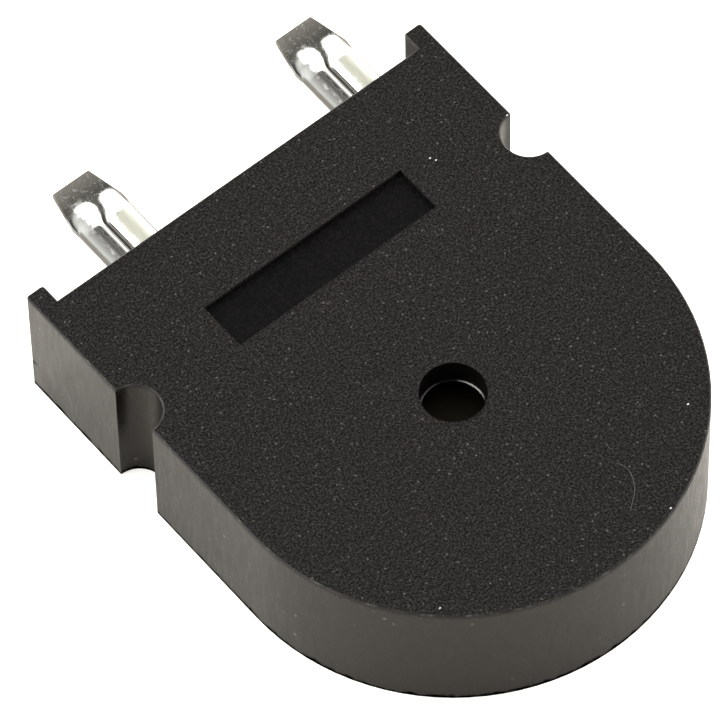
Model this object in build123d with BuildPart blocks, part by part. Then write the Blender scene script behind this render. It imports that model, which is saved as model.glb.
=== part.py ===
from build123d import *
import os
from math import sqrt

# Piezo buzzer: a D-shaped moulded case with a sound hole, closed from below by a back cover. It holds a brass
# diaphragm with its ceramic disc, and two stamped terminals whose edges are rolled in to make the pins.
# Millimetres. The origin is on the axis of the sound hole, at the back face. +Z points out of the sound hole,
# and +Y points out along the pins.

# Case
case_width = 17.5
case_height = 5.6
axis_to_back = 11.5
side_wall = 1.0
top_wall = 1.2
edge_break = 0.05
ear_width = 0.75
ear_length = 0.8
ear_corner_radius = 0.12
notch_radius = 1.0
notch_to_back = 5.1
mark_recess_length = 8.7
mark_recess_width = 1.95
mark_recess_depth = 0.15
mark_recess_to_back = 4.42
sound_hole_diameter = 2.36
hole_lip_width = 0.06
hole_lip_thickness = 0.1
chamber_depth = 0.85
seat_lip_wall = 0.6
rib_depth = 0.8

# Diaphragm
rim_gap = 0.25
plate_clearance = 0.05
plate_thickness = 0.2
ledge_width = 0.9
silicone_thickness = 0.15
ceramic_diameter = 10.0
ceramic_thickness = 0.2
electrode_margin = 0.5
electrode_thickness = 0.03

# Back cover
cover_thickness = 1.2
cover_step = 0.35
fit_gap = 0.05

# Terminals
pin_pitch = 10.0
pin_inset = 2.5
pin_drop = 0.65
pin_reach = 4.0
pin_width = 2.22
pin_thickness = 0.92
seam_gap = 0.06
seam_start = -0.12
seam_end = 0.18
seam_angle = 2
swell_reach = 1.82
roll_reach = 2.6
roll_end_thickness = 0.62
end_step = 0.01
taper_reach = 2.5
tip_width = 1.58
tip_thickness = 0.27
strip_thickness = 0.3
tab_gap = 0.25
tab_length = 2.2
finger_width = 0.9
finger_clearance = 0.3
contact_gap = 0.02
electrode_contact_y = 0.8
toe_length = 0.7
toe_drop = 0.2
bend_radius = 0.5

# Places across the case
half_width = case_width / 2
seat_y = axis_to_back + ear_length
back_inner_y = axis_to_back - side_wall
notch_y = axis_to_back - notch_to_back
mark_recess_y = axis_to_back - mark_recess_to_back
cover_inset = side_wall - cover_step
plate_radius = half_width - side_wall - rim_gap
chamber_radius = plate_radius - ledge_width
ceramic_radius = ceramic_diameter / 2
electrode_radius = ceramic_radius - electrode_margin

# Heights above the back face
ceiling_z = case_height - top_wall
seat_z = ceiling_z - chamber_depth
plate_top_z = seat_z - silicone_thickness
plate_z = plate_top_z - plate_thickness
ceramic_z = plate_z - ceramic_thickness
electrode_z = ceramic_z - electrode_thickness
pin_z = seat_z - pin_drop
strip_z = pin_z - pin_thickness / 2
strip_top_z = strip_z + strip_thickness

# Pins and their places
plate_pin_x = half_width - pin_inset
electrode_pin_x = plate_pin_x - pin_pitch
pin_xs = (electrode_pin_x, plate_pin_x)
slot_width = pin_width + 2 * fit_gap
slot_top_z = pin_z + pin_thickness / 2 + fit_gap
nearest_inset = half_width - max(plate_pin_x, -electrode_pin_x)
tab_width = 2 * (nearest_inset - side_wall - tab_gap)
tab_rear_y = back_inner_y - fit_gap
tab_front_y = tab_rear_y - tab_length
pin_start_y = back_inner_y + fit_gap
swell_y = seat_y + swell_reach
roll_end_y = seat_y + roll_reach
taper_y = seat_y + taper_reach
tip_y = seat_y + pin_reach
roll_width = (pin_width - seam_gap) / 2
roll_offset = (pin_width - roll_width) / 2
neck_width = roll_width - abs(seam_start)

# The fingers keep clear of the walls behind the notches. The plate's finger bears on the middle of the ledge.
finger_limit_x = half_width - notch_radius - side_wall - finger_clearance - finger_width / 2
electrode_finger_x = max(electrode_pin_x, -finger_limit_x)
plate_finger_x = min(plate_pin_x, finger_limit_x)
plate_contact_radius = plate_radius - ledge_width / 2
plate_contact_y = sqrt(plate_contact_radius**2 - plate_finger_x**2)


def case_outline(inset):
    """Draw the case's D with its two side notches, set in from the outer faces."""
    radius = half_width - inset
    depth = axis_to_back - inset
    Circle(radius)
    Rectangle(2 * radius, depth, align=(Align.CENTER, Align.MIN))
    with Locations((-half_width, notch_y), (half_width, notch_y)):
        Circle(notch_radius + inset, mode=Mode.SUBTRACT)


def roll_radii(shift):
    """Give the half widths of the left and right rolled edges, for a seam this far right of the middle."""
    left = (pin_width / 2 + shift - seam_gap / 2) / 2
    right = (pin_width / 2 - shift - seam_gap / 2) / 2
    return left, right


def pin_section(x, y, shift, thickness):
    """Draw the pin's section: two rolled edges that almost meet at the seam, on a flat underside."""
    left_radius, right_radius = roll_radii(shift)
    left_x = x - pin_width / 2 + left_radius
    right_x = x + pin_width / 2 - right_radius
    half = thickness / 2
    roll_sweep = 270 - seam_angle
    with BuildSketch(Plane.XZ.offset(-y)) as section:
        with BuildLine():
            left = EllipticalCenterArc((left_x, pin_z), left_radius, half, seam_angle, arc_size=roll_sweep)
            right = EllipticalCenterArc((right_x, pin_z), right_radius, half, -90, arc_size=roll_sweep)
            Line(left @ 1, right @ 0)
            Line(right @ 1, left @ 0)
        make_face()
    return section.sketch


def roll_end(x, radius):
    """Add the domed end of a rolled edge, round in plan and a hair smaller."""
    with BuildSketch(Plane.XZ.offset(-roll_end_y)) as profile:
        with Locations((x, pin_z)):
            Ellipse(radius - end_step, roll_end_thickness / 2 - end_step)
            Rectangle(radius, roll_end_thickness, align=(Align.MIN, Align.CENTER), mode=Mode.INTERSECT)
    revolve(profile.sketch, axis=Axis((x, roll_end_y, 0), (0, 0, 1)), revolution_arc=180)


def rolled_pin(x):
    """Add a pin: two rolled edges that thin down as their seam bends to the right, and a coined flat tip."""
    straight_ys = (pin_start_y, axis_to_back, seat_y, (seat_y + swell_y) / 2, swell_y)
    sections = [pin_section(x, y, seam_start, pin_thickness) for y in straight_ys]
    sections.append(pin_section(x, roll_end_y, seam_end, roll_end_thickness))
    for near, far in zip(sections, sections[1:]):
        loft([near, far], ruled=True)
    left_radius, right_radius = roll_radii(seam_end)
    roll_end(x - pin_width / 2 + left_radius, left_radius)
    roll_end(x + pin_width / 2 - right_radius, right_radius)
    with BuildSketch(Plane.XY.offset(pin_z)) as tip:
        with BuildLine():
            Polyline(
                (x - roll_offset, swell_y),
                (x - pin_width / 2, taper_y),
                (x - tip_width / 2, tip_y),
                (x + tip_width / 2, tip_y),
                (x + pin_width / 2, taper_y),
                (x + roll_offset, swell_y),
                close=True,
            )
        make_face()
    extrude(tip.sketch, amount=tip_thickness / 2, both=True)


def spring_finger(x, contact_y, contact_z):
    """Add the finger that rises from the tab, bears on the diaphragm from below and turns down at its toe."""
    tab_mid_z = strip_z + strip_thickness / 2
    crest_z = contact_z - contact_gap - strip_thickness / 2
    with BuildSketch(Plane.YZ.offset(x)) as side:
        with BuildLine():
            FilletPolyline(
                (tab_rear_y - tab_length / 2, tab_mid_z),
                (tab_front_y, tab_mid_z),
                (contact_y, crest_z),
                (contact_y - toe_length, crest_z - toe_drop),
                radius=bend_radius,
            )
        trace(line_width=strip_thickness)
    extrude(side.sketch, amount=finger_width / 2, both=True)


def terminal_tab(x):
    """Add the flat tab that is clamped inside the case, with its neck through the wall."""
    with BuildSketch(Plane.XY.offset(strip_z)) as blank:
        with Locations((x, tab_rear_y)):
            Rectangle(tab_width, tab_length, align=(Align.CENTER, Align.MAX))
        with Locations((x, tab_front_y)):
            Rectangle(neck_width, axis_to_back - tab_front_y, align=(Align.CENTER, Align.MIN))
    extrude(blank.sketch, amount=strip_thickness)


# Case
with BuildPart() as case:
    with BuildSketch():
        case_outline(0)
        with Locations((-half_width, axis_to_back)):
            Rectangle(ear_width, ear_length, align=(Align.MIN, Align.MIN))
        with Locations((half_width, axis_to_back)):
            Rectangle(ear_width, ear_length, align=(Align.MAX, Align.MIN))
    extrude(amount=case_height)
    ear_corners = case.edges().filter_by(Axis.Z).group_by(Axis.Y)[-1]
    fillet(ear_corners, radius=ear_corner_radius)
    flat_faces = case.faces().filter_by(Axis.Z)
    chamfer(flat_faces.edges(), length=edge_break)
    # Cavity, open to below, with the step that the cover seats on
    with BuildSketch():
        case_outline(side_wall)
    extrude(amount=seat_z, mode=Mode.SUBTRACT)
    with BuildSketch():
        case_outline(cover_inset)
    extrude(amount=cover_thickness, mode=Mode.SUBTRACT)
    # Round lip that centres the diaphragm, and the sound chamber above it
    with BuildSketch(Plane.XY.offset(plate_z)):
        Circle(plate_radius + plate_clearance + seat_lip_wall)
        Circle(plate_radius + plate_clearance, mode=Mode.SUBTRACT)
    extrude(amount=seat_z - plate_z)
    with BuildSketch(Plane.XY.offset(seat_z)):
        Circle(chamber_radius)
    extrude(amount=chamber_depth, mode=Mode.SUBTRACT)
    # Sound hole, with a thin lip at its inner end
    with BuildSketch(Plane.XY.offset(ceiling_z + hole_lip_thickness)):
        Circle(sound_hole_diameter / 2)
    extrude(amount=top_wall, mode=Mode.SUBTRACT)
    with BuildSketch(Plane.XY.offset(ceiling_z)):
        Circle(sound_hole_diameter / 2 - hole_lip_width)
    extrude(amount=top_wall, mode=Mode.SUBTRACT)
    # Shallow recess in the top
    with BuildSketch(Plane.XY.offset(case_height)):
        with Locations((0, mark_recess_y)):
            Rectangle(mark_recess_length, mark_recess_width)
    extrude(amount=-mark_recess_depth, mode=Mode.SUBTRACT)
    # Slots for the pins, open to below, and the ribs that hold the tabs down
    with BuildSketch():
        with Locations(*[(x, axis_to_back) for x in pin_xs]):
            Rectangle(slot_width, side_wall, align=(Align.CENTER, Align.MAX))
    extrude(amount=slot_top_z, mode=Mode.SUBTRACT)
    with BuildSketch(Plane.XY.offset(strip_top_z)):
        with Locations(*[(x, back_inner_y) for x in pin_xs]):
            Rectangle(tab_width, rib_depth, align=(Align.CENTER, Align.MAX))
    extrude(amount=seat_z - strip_top_z)

# Back cover, with the pads that carry the tabs and the tongues that close the slots below the pins
with BuildPart() as back_cover:
    with BuildSketch():
        case_outline(cover_inset + fit_gap)
    extrude(amount=cover_thickness)
    with BuildSketch():
        with Locations(*[(x, tab_rear_y) for x in pin_xs]):
            Rectangle(tab_width, tab_length, align=(Align.CENTER, Align.MAX))
            Rectangle(pin_width, axis_to_back - tab_rear_y, align=(Align.CENTER, Align.MIN))
    extrude(amount=strip_z)

# Diaphragm: silicone ring, brass plate, ceramic disc and its silver electrode, from the seat downwards
with BuildPart() as silicone_ring:
    with BuildSketch(Plane.XY.offset(plate_top_z)):
        Circle(plate_radius)
        Circle(chamber_radius, mode=Mode.SUBTRACT)
    extrude(amount=silicone_thickness)

with BuildPart() as diaphragm_plate:
    with BuildSketch(Plane.XY.offset(plate_z)):
        Circle(plate_radius)
    extrude(amount=plate_thickness)

with BuildPart() as ceramic_disc:
    with BuildSketch(Plane.XY.offset(ceramic_z)):
        Circle(ceramic_radius)
    extrude(amount=ceramic_thickness)

with BuildPart() as silver_electrode:
    with BuildSketch(Plane.XY.offset(electrode_z)):
        Circle(electrode_radius)
    extrude(amount=electrode_thickness)

# Terminals
with BuildPart() as electrode_terminal:
    rolled_pin(electrode_pin_x)
    terminal_tab(electrode_pin_x)
    spring_finger(electrode_finger_x, electrode_contact_y, electrode_z)

with BuildPart() as plate_terminal:
    rolled_pin(plate_pin_x)
    terminal_tab(plate_pin_x)
    spring_finger(plate_finger_x, plate_contact_y, plate_z)

pieces = {
    "case": case,
    "back_cover": back_cover,
    "silicone_ring": silicone_ring,
    "diaphragm_plate": diaphragm_plate,
    "ceramic_disc": ceramic_disc,
    "silver_electrode": silver_electrode,
    "electrode_terminal": electrode_terminal,
    "plate_terminal": plate_terminal,
}
os.makedirs("parts", exist_ok=True)
for name, piece in pieces.items():
    piece.part.label = name
    export_step(piece.part, f"parts/{name}.step")
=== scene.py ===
import math

import bmesh
import bpy
import numpy as np
from bpy.props import FloatProperty, FloatVectorProperty, IntProperty, PointerProperty
from mathutils import Matrix, Vector
from mathutils.geometry import delaunay_2d_cdt

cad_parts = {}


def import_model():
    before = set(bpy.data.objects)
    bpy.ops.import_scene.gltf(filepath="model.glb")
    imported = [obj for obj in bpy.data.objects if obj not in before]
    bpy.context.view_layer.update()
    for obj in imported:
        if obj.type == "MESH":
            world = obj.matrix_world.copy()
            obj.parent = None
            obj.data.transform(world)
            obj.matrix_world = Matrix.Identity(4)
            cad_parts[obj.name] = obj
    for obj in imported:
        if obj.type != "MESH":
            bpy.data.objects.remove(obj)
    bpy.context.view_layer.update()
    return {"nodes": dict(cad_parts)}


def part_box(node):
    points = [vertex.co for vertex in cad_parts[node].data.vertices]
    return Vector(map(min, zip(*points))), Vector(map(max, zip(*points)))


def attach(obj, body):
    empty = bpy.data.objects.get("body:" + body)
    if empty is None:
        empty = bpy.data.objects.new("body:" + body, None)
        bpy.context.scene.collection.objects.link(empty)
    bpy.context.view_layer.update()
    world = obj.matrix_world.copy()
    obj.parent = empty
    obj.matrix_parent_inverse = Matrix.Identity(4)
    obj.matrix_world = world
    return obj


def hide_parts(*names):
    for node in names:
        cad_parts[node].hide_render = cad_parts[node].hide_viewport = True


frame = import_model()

bl_info = {
    "name": "Piezo Buzzer",
    "version": (1, 0, 0),
    "blender": (4, 5, 0),
    "location": "View3D > Sidebar > Buzzer",
    "description": "Finishes a piezo buzzer: grained case, rolled pins, dust and a studio stage",
    "category": "Object",
}

# Places taken from the frame
CASE_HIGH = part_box("case")[1]
PIN_LOW, PIN_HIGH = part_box("electrode_terminal")
PLATE_LOW, PLATE_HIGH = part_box("plate_terminal")
PIN_X = 0.5 * (PIN_LOW.x + PIN_HIGH.x)
PIN_PITCH = 0.5 * (PLATE_LOW.x + PLATE_HIGH.x) - PIN_X
PIN_MIDDLE = 0.5 * (PIN_LOW.z + PIN_HIGH.z)
BODY = "root"

# Inner faces of the ears, which take painted shade: where they begin and are clear,
# in from the sides and from the ears' ends
EAR_INSET = (0.00035, 0.00055)
EAR_DEPTH = (0.00078, 0.0007)

# Finishes of the case, in the order of its material slots
SIDE, TOP, RECESS, EDGE, BORE, LIP = range(6)

# Where the painted highlight on the lip in the hole shines: the way that it faces,
# and shares of the hole's reach that way
LIP_TURN = math.radians(-38)
LIP_BRIGHT_START = (0.1, 0.45)
LIP_BRIGHT_END = (0.84, 0.7)
LIP_FAINT_START = (-0.3, -0.7)
LIP_FAINT_SHINE = 0.14

# Outer and inner ends of soft borders, as shares of their reach
CONTACT_SHADOW_ENDS = (1.2, 0.7)
HIGH_ENDS = (1.15, 0.75)
NICK_ENDS = (1.2, 0.8)
SEAM_SHADE_ENDS = (1.3, 0.6)

# Slopes that tell faces apart, as the upward part of a face's normal
FLAT_SLOPE = 0.99
EDGE_SLOPES = (0.5, 0.9)
WALL_SLOPE = 0.5

# Gaps within which points are merged and faces are at one height
MERGE_GAP = 1e-7
HEIGHT_SLACK = 0.000015

# Points of a flat mesh, in its steps: how near they come to the rim, stray and run together
RIM_CLEARANCE = 0.6
FLOOR_JITTER = 0.1
TOP_JITTER = 0.15
POINT_SLACK = 1e-6

# Fibre, and glints painted as white grains, placed on the top
# in millimetres from the middle of the sound hole
MM = 0.001
FIBRE_PATHS = (
    ((2.67, -4.791), (2.65, -4.98), (2.622, -5.173)),
    ((2.419, -5.634), (2.58, -5.927), (2.583, -6.193), (2.447, -6.552), (2.278, -6.832),
     (2.036, -7.05), (1.503, -7.446)),
)
FIBRE_SIDES = 8
FIBRE_STEPS = 10
FIBRE_EASE = 6
GLINT_PLACES = (
    (5.433, 7.765), (5.539, 7.57), (5.797, -5.452),
    (2.701, -8.182), (-5.726, -6.178), (8.602, 7.415),
)
GLINT_SHAPE = (1.0, 0.7, 0.25)

# Specks of dust: least and greatest shares of the radius, and the share by which a speck sinks in
SPECK_LEAST = (0.25, 0.2, 0.08)
SPECK_MOST = (1.0, 0.7, 0.18)
SPECK_SINK = 0.15

# Sections of a pin: how full a roll is, how soft its nose is, and how rows crowd at the ends
SEAM_FULLNESS = 2.7
OUTER_FULLNESS = 2.0
NOSE_SOFTNESS = 0.8
NOSE_SHARE = 0.4
NOSE_POWER = 4
NEARLY_ONE = 0.999
ROW_EASE = (-0.4, 1.4)

# Sockets of a Mix node that hold its two colours and the mixed one
MIX_FIRST, MIX_SECOND, MIX_RESULT = 6, 7, 2


# Properties


def length(name, description, default):
    """Give a property for a length in metres."""
    return FloatProperty(
        name=name, description=description, default=default, unit="LENGTH", precision=6)


def angle(name, description, degrees):
    """Give a property for an angle, whose default is in degrees."""
    return FloatProperty(
        name=name, description=description, default=math.radians(degrees), subtype="ANGLE")


def amount(name, description, default):
    """Give a property for a strength or another plain number."""
    return FloatProperty(name=name, description=description, default=default)


def portion(name, description, default):
    """Give a property for a share from 0 to 1."""
    return FloatProperty(
        name=name, description=description, default=default, subtype="FACTOR", min=0, max=1)


def count(name, description, default):
    """Give a property for a whole number."""
    return IntProperty(name=name, description=description, default=default)


def tint(name, description, default):
    """Give a property for a colour."""
    return FloatVectorProperty(
        name=name, description=description, default=default, subtype="COLOR", min=0, max=1)


def point(name, description, default):
    """Give a property for a place, or for a size along each axis, in metres."""
    return FloatVectorProperty(
        name=name, description=description, default=default, subtype="XYZ", unit="LENGTH",
        precision=6)


class BuzzerCaseProperties(bpy.types.PropertyGroup):
    """Sizes and colours of the moulded case."""

    mesh_step: length("Mesh Step", "Spacing of the points that carry the grain", 0.00009)
    grain_size: length("Grain Size", "Width of one grain of the spark-eroded top", 0.00008)
    grain_depth: length("Grain Depth", "Depth of the grain below the top", 0.000014)
    recess_depth: length("Recess Depth", "Depth of the bare recess in the top", 0.00015)
    smooth_angle: angle("Smooth Angle", "Edges that bend less than this are shaded smooth", 32)
    seed: count("Seed", "Seed of the grain and of its points", 7)
    top_color: tint("Top Colour", "Charcoal of the grained top", (0.0026, 0.0023, 0.0021))
    # Pale specks in the top: partly dust, partly painted glints
    dust_and_glint_color: tint("Speck Colour", "Bright grains in the top", (0.07, 0.067, 0.063))
    edge_color: tint("Edge Colour", "Broken edge of the top", (0.012, 0.0112, 0.01))
    # Pale colour of the painted highlights on the edge and the hole's lip, and of the real scuffs
    highlight_and_scuff_color: tint(
        "Worn Colour", "Rubbed spots of the edge, scuffs and the hole's lip", (0.3, 0.29, 0.27))
    side_color: tint("Side Colour", "Warm black of the satin sides", (0.0013, 0.0011, 0.0008))
    side_tint: tint("Side Tint", "Warm tint of what the satin sides reflect", (1.0, 0.92, 0.8))
    top_ior: amount("Top Refraction", "Index of refraction of the rough top", 1.135)
    recess_ior: amount("Recess Refraction", "Index of refraction of the recess floor", 1.108)
    side_ior: amount("Side Refraction", "Index of refraction of the satin sides", 1.24)
    scuff: portion("Scuff", "How pale the scuffs of the sides are", 0.3)
    # Dull: the grained top rim is matt, and between the ears the lost shine is painted shade
    dull: portion("Dull", "How dull the sides are at the top edge and between the ears", 0.7)
    # Height of the painted contact shadow along the bottom edge of the sides
    contact_shadow_height: length("Low Edge", "Height of the dark, uneven bottom edge", 0.00025)
    high_edge: length("High Edge", "How far the grain of the top runs over the edge", 0.0002)
    draw_depth: length("Draw Depth", "Depth of the upright marks on the sides", 0.000003)
    # Depth of the bump under the painted highlights of the edge
    edge_bump_depth: length("Rub Depth", "Depth of the rubbed spots of the edge", 0.00001)
    bore_reach: length("Bore Reach", "Radius within which faces belong to the hole", 0.0013)
    nick_place: point(
        "Nick Place", "Middle of the nick in the left ear", (-0.00875, 0.01225, 0.00155))
    nick_size: point("Nick Size", "Half sizes of the nick", (0.0001, 0.00032, 0.00007))


class BuzzerDustProperties(bpy.types.PropertyGroup):
    """Dust that has settled on the top."""

    speck_radius: length("Speck Radius", "Radius of the largest speck", 0.00003)
    density: amount("Density", "Specks for each square metre of the top", 250000)
    seed: count("Seed", "Seed of the places of the specks", 3)
    color: tint("Dust Colour", "Pale grey of the dust", (0.42, 0.41, 0.38))


class BuzzerMarkProperties(bpy.types.PropertyGroup):
    """A stray fibre and a few painted glints, white grains, on the top."""

    fibre_radius: length("Fibre Radius", "Radius of the fibre", 0.000008)
    # A painted glint is a white grain of this radius
    glint_radius: length("Glint Radius", "Radius of a bright grain", 0.00005)
    # Colour of the white grains that paint the glints; the fibre takes a share of it
    color: tint("Mark Colour", "Pale grains", (0.4, 0.39, 0.37))
    fibre_share: portion("Fibre Share", "Brightness of the fibre beside the grains", 0.12)


class BuzzerPinProperties(bpy.types.PropertyGroup):
    """Sizes and finish of the pins: across from a pin's middle, and along from the hole's middle."""

    half_width: length("Half Width", "Half the width of a pin", 0.00111)
    tip_half_width: length("Tip Half Width", "Half the width of the tip's end", 0.00079)
    full_half: length("Full Half", "Half the thickness of the rolls", 0.00046)
    end_half: length("End Half", "Half the thickness where the rolls end", 0.00031)
    tip_half: length("Tip Half", "Half the thickness of the flat tip", 0.000135)
    web_half: length("Web Half", "Half the thickness under the seam", 0.00002)
    seam_half: length("Seam Half", "Half the gap at the seam", 0.000015)
    seam_round: length("Seam Round", "Rounding at the foot of the rolls", 0.00002)
    nose_round: length("Nose Round", "Rounding added where the rolls end", 0.00005)
    seam: length("Seam", "Place of the seam across a pin", -0.00012)
    seam_end: length("Seam End", "Place of the seam where the rolls part", 0.00018)
    cut: length("Cut", "Where the finished pin begins, inside the wall", 0.0112)
    thin_start: length("Thin Start", "Where the rolls begin to thin", 0.01412)
    thin_end: length("Thin End", "Where the rolls begin to part", 0.0149)
    taper_start: length("Taper Start", "Where the tip begins to narrow", 0.0148)
    left_nose: length("Left Nose", "Where the left roll ends", 0.01568)
    right_nose: length("Right Nose", "Where the right roll ends", 0.01542)
    nose_length: length("Nose Length", "Length of the rounded nose of a roll", 0.00045)
    points_across: count("Points Across", "Points over each roll", 56)
    points_along: count("Points Along", "Rows of points along a pin", 220)
    smooth_angle: angle("Smooth Angle", "Edges that bend less than this are shaded smooth", 40)
    bright_color: tint("Bright Colour", "Bright tin of the right roll", (0.9, 0.89, 0.86))
    # Painted shade: the left roll is darker than the right
    shaded_left_color: tint("Dull Colour", "Duller tin of the left roll", (0.125, 0.125, 0.118))
    # Painted shade on the left roll's flank beside the seam
    shaded_flank_color: tint("Inner Colour", "Left roll's flank beside the seam", (0.2, 0.195, 0.18))
    # Painted reflection: a stripe along the left roll's crown
    painted_stripe_color: tint("Scraped Colour", "Scraped crown of the left roll", (0.33, 0.32, 0.3))
    # Painted reflection: a pale yellow band on the right roll's crown; also the tip's pale specks
    reflection_and_speck_color: tint("Frosted Colour", "Frosted crown of the right roll", (0.42, 0.415, 0.35))
    # Painted shade along the right roll's edge and in the seam
    edge_and_seam_shade_color: tint("Parted Colour", "Brown grime where the rolls part", (0.16, 0.145, 0.125))
    # Coined tip: its darkness is partly the finish and partly painted shade
    tip_color: tint("Tip Colour", "Coined tip, dark and speckled", (0.1, 0.095, 0.083))
    roll_end: length("Roll End", "Where the finishes of the rolls end", 0.01414)
    # Where the painted shade of the left roll ends and that of its flank begins
    left_end: length("Left End", "Place up to which the left roll is dull", -0.00061)
    inner_start: length("Inner Start", "Place where the left roll's flank begins", -0.00054)
    # Places of the painted reflections on the crowns, and their half widths
    left_crown: length("Left Crown", "Place of the scraped crown", -0.00066)
    right_crown: length("Right Crown", "Place of the frosted crown", 0.0005)
    stripe_half: length("Scraped Half", "Half the width of the scraped crown", 0.00009)
    reflection_half: length("Frosted Half", "Half the width of the frosted crown", 0.00034)
    # Widths of the painted shade at the right roll's edge and in the seam
    rim_width: length("Rim Width", "Width of the grimy rim of the right roll", 0.00015)
    seam_shade_start: length("Grime Start", "Half the grime's width where the rolls thin", 0.000045)
    seam_shade_end: length("Grime End", "Half the grime's width where the rolls end", 0.00016)
    # Reach of the dark coined tip, which is partly painted shade
    wedge_half: length("Wedge Half", "Half the width of the coined wedge", 0.000325)
    tip_rise: length("Tip Rise", "Height over the tip up to which it is dark", 0.000055)
    tip_start: length("Tip Start", "From where the tip narrows to where it is dark", 0.000375)
    stray: length("Stray", "How far the borders of the finishes stray", 0.00035)
    tip_stray: portion("Tip Stray", "Share of the stray at the tip's dark edge", 0.3)
    relief: length("Relief", "Depth of the drawn lines and of the tip's specks", 0.000004)
    roughness: portion("Roughness", "Roughness of the bright tin", 0.16)
    # Roughness added under the painted reflection on the right roll's crown
    crown_rough: portion("Frosted Roughness", "Roughness added on the frosted crown", 0.34)
    # Roughness added on the left roll, which carries painted shade
    left_roll_rough: portion("Dull Roughness", "Roughness added on the dull left roll", 0.1)
    tip_rough: portion("Tip Roughness", "Roughness added on the coined tip", 0.3)


class BuzzerStageProperties(bpy.types.PropertyGroup):
    """Floor, light and camera."""

    floor_radius: length("Floor Radius", "Radius of the round floor", 1.5)
    floor_gap: length("Floor Gap", "Gap between the floor and the underside", 0.00001)
    floor_color: tint("Floor Colour", "Plain pale floor", (0.93, 0.88, 0.8))
    floor_glow: amount("Floor Glow", "Light added to the floor where the camera sees it", 0.5)
    low_strength: amount("Low Strength", "Brightness of the surround near the floor", 4.95)
    high_strength: amount("High Strength", "Brightness of the surround overhead", 1.45)
    front_shade: portion("Front Shade", "Share taken from the surround at the front", 0.95)
    left_lift: portion("Left Lift", "Share added to the surround at the front's left", 0.62)
    dark_strength: amount("Dark Strength", "Brightness of the dark patch overhead", 0.3)
    dark_way: FloatVectorProperty(
        name="Dark Way", description="Direction of the dark patch overhead",
        default=(0.324, 0.41, 0.853), subtype="DIRECTION")
    dark_inner: angle("Dark Inner", "Angle from its middle within which the patch is dark", 16)
    dark_outer: angle("Dark Outer", "Angle from its middle at which the patch ends", 32)
    lens: FloatProperty(
        name="Lens", description="Focal length of the camera, in millimetres", default=427.79,
        unit="CAMERA")
    azimuth: angle("Azimuth", "Camera's angle round the object", -38.3315)
    elevation: angle("Elevation", "Camera's angle above the floor", 58.5103)
    roll: angle("Roll", "Camera's turn about its own line of sight", -1.3646)
    distance: length("Distance", "From the camera to the point that it looks at", 0.290727)
    target: point(
        "Target", "Point of the top face that the camera looks at", (-0.0014149, 0.0032495, 0.0056))


class BuzzerProperties(bpy.types.PropertyGroup):
    """All settings of the buzzer."""

    case: PointerProperty(type=BuzzerCaseProperties, name="Case", description="Moulded case")
    dust: PointerProperty(type=BuzzerDustProperties, name="Dust", description="Settled dust")
    marks: PointerProperty(type=BuzzerMarkProperties, name="Marks", description="Fibre and glints")
    pins: PointerProperty(type=BuzzerPinProperties, name="Pins", description="Rolled pins")
    stage: PointerProperty(
        type=BuzzerStageProperties, name="Stage", description="Floor, light and camera")


# Node helpers


def spaced(values):
    """Give the same values under names with spaces for underscores."""
    return {key.replace("_", " "): value for key, value in values.items()}


def set_inputs(tree, node, inputs):
    """Set each input of a node to a value, or link it to a socket."""
    for key, value in inputs.items():
        socket = node.inputs[key]
        if isinstance(value, bpy.types.NodeSocket):
            tree.links.new(value, socket)
        elif socket.type == "RGBA":
            socket.default_value = (*value, 1.0)
        else:
            socket.default_value = value


def add_node(tree, kind, inputs=None, **settings):
    """Add a node, apply its settings, then set its inputs."""
    node = tree.nodes.new(kind)
    for key, value in settings.items():
        setattr(node, key, value)
    set_inputs(tree, node, inputs or {})
    return node


def math_node(tree, operation, first, *others):
    """Apply an operation to values or sockets, from left to right, and return the result."""
    result = first
    for other in others or (0.0,):
        inputs = {0: result, 1: other}
        result = add_node(tree, "ShaderNodeMath", inputs, operation=operation).outputs[0]
    return result


def multiply(tree, *values):
    """Multiply values or sockets and return the product."""
    return math_node(tree, "MULTIPLY", *values)


def vector_math(tree, operation, first, second=(0.0, 0.0, 0.0)):
    """Apply an operation to vectors and return a vector or, for a length or a dot, a value."""
    node = add_node(tree, "ShaderNodeVectorMath", {0: first, 1: second}, operation=operation)
    return node.outputs["Value" if operation in ("LENGTH", "DOT_PRODUCT") else "Vector"]


def axes(tree, vector):
    """Split a vector and return its three parts."""
    return tuple(add_node(tree, "ShaderNodeSeparateXYZ", {"Vector": vector}).outputs)


def blend(tree, factor, first, second):
    """Mix two colours or colour sockets and return the mixed one."""
    inputs = {0: factor, MIX_FIRST: first, MIX_SECOND: second}
    return add_node(tree, "ShaderNodeMix", inputs, data_type="RGBA").outputs[MIX_RESULT]


def remap(tree, value, low, high, to_low=0.0, to_high=1.0):
    """Map a value from one range to another, held at its ends, and return it."""
    inputs = {
        "Value": value, "From Min": low, "From Max": high, "To Min": to_low, "To Max": to_high}
    return add_node(tree, "ShaderNodeMapRange", inputs, clamp=True).outputs["Result"]


def before(tree, value, place, soft):
    """Give a mask that is 1 below a place and ends softly there."""
    return remap(tree, value, place + soft, place - soft)


def after(tree, value, place, soft):
    """Give a mask that is 1 above a place and begins softly there."""
    return remap(tree, value, place - soft, place + soft)


def band(tree, value, middle, half_width, soft):
    """Give a soft mask that is 1 within a half width of the middle."""
    gap = math_node(tree, "ABSOLUTE", math_node(tree, "SUBTRACT", value, middle))
    return before(tree, gap, half_width, soft)


def noise(tree, place, scale, detail=2.0, roughness=0.5):
    """Give a noise that changes over the surface."""
    inputs = {"Vector": place, "Scale": scale, "Detail": detail, "Roughness": roughness}
    return add_node(tree, "ShaderNodeTexNoise", inputs).outputs["Fac"]


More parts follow.
